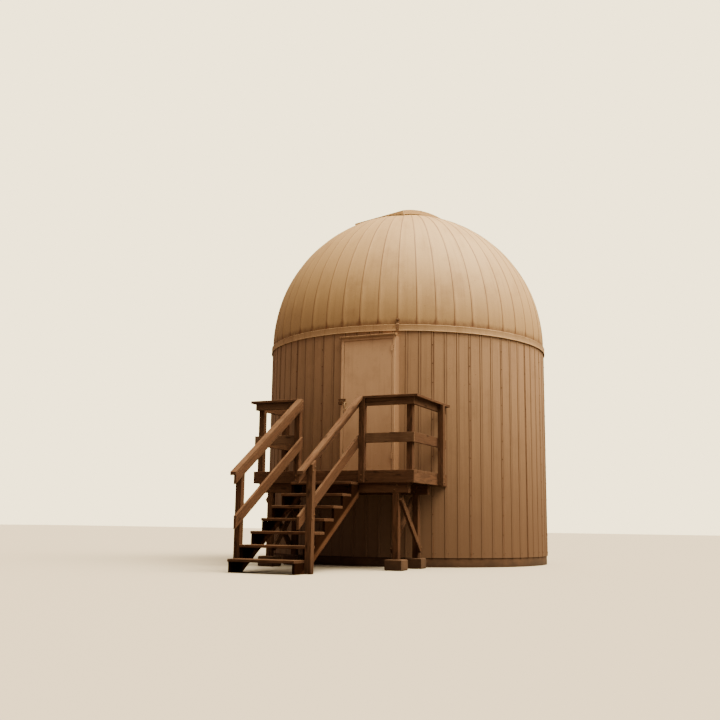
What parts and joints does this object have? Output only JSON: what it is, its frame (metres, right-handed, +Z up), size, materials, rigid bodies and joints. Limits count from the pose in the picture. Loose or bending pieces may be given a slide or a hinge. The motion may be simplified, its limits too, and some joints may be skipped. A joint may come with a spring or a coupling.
{
  "type": "observatory dome",
  "caption": "Round metal-clad observatory with a turning dome, a shuttered slit, a hinged entrance door, and a raised timber deck with a stair and guards.",
  "frame": {"origin": "at ground level, in the middle of the plan's extents; the building's own axis stands 1.372 m behind it along +Y", "axes": "+Z up, -Y is the front with the door and the stair, +X is to the right as seen from the front"},
  "size_m": [4.9187, 7.7762, 6.2329],
  "materials": {
    "siding": "satin cream paint on ribbed sheet, weathered",
    "dome_paint": "satin cream paint on sheet gores, weathered",
    "band_metal": "dull bare sheet with rust runs at the fixings",
    "door_paint": "satin cream paint",
    "steel": "mill finish, dulled",
    "dark_iron": "dark, rusted at the edges",
    "timber": "brown stain, weathered grey on the tops",
    "plywood": "bare sheet, matt",
    "concrete": "rough cast, stained at the foot"
  },
  "bodies": {
    "building": {"foundation_ring": "concrete", "wall_panel_1": "siding", "wall_panel_2": "siding", "wall_panel_3": "siding", "wall_panel_4": "siding", "wall_panel_5": "siding", "wall_panel_6": "siding", "wall_under_door": "siding", "wall_over_door": "siding", "wall_top_ring": "steel", "floor_ledger": "timber", "interior_floor": "plywood", "door_frame": "door_paint", "door_sill": "steel", "door_hinge_upper": "dark_iron", "door_hinge_lower": "dark_iron", "door_drip_cap": "band_metal", "deck_floor": "timber", "deck_frame": "timber", "deck_beam_front": "timber", "deck_beam_rear": "timber", "deck_legs_left": "timber", "deck_legs_right": "timber", "footing_block_front_left": "concrete", "footing_block_front_right": "concrete", "footing_block_rear_left": "concrete", "footing_block_rear_right": "concrete", "stair_stringer_left": "timber", "stair_stringer_right": "timber", "stair_tread_1": "timber", "stair_tread_2": "timber", "stair_tread_3": "timber", "stair_tread_4": "timber", "stair_tread_5": "timber", "stair_tread_6": "timber", "stair_tread_7": "timber", "stair_guard_left": "timber", "stair_guard_right": "timber", "deck_guard_left": "timber", "deck_guard_right": "timber"},
    "dome": {"dome_base_ring": "steel", "skirt_band": "band_metal", "dome_gores_1": "dome_paint", "dome_gores_2": "dome_paint", "dome_gores_3": "dome_paint", "dome_gores_4": "dome_paint", "dome_gores_5": "dome_paint", "slit_rail_left": "steel", "slit_rail_right": "steel", "slit_header": "steel", "slit_sill": "steel", "lower_shutter": "dome_paint"},
    "upper_shutter": {"upper_shutter": "dome_paint"},
    "door": {"door_leaf": "door_paint", "door_hinge_leaf_upper": "dark_iron", "door_hinge_leaf_lower": "dark_iron", "door_pull": "band_metal", "door_hasp": "dark_iron"}
  },
  "joints": [
    {"name": "dome_spin", "type": "hinge", "parent": "building", "child": "dome", "pos_m": [0, 1.372, 3.69], "axis": [0, 0, 1], "continuous": true},
    {"name": "shutter_slide", "type": "hinge", "parent": "dome", "child": "upper_shutter", "pos_m": [0, 1.372, 3.775], "axis": [0.95, -0.3123, 0], "range_deg": [0, 60]},
    {"name": "door_swing", "type": "hinge", "parent": "building", "child": "door", "pos_m": [0.73225, -1.127, 2.448], "axis": [0, 0, 1], "range_deg": [0, 110]}
  ]
}
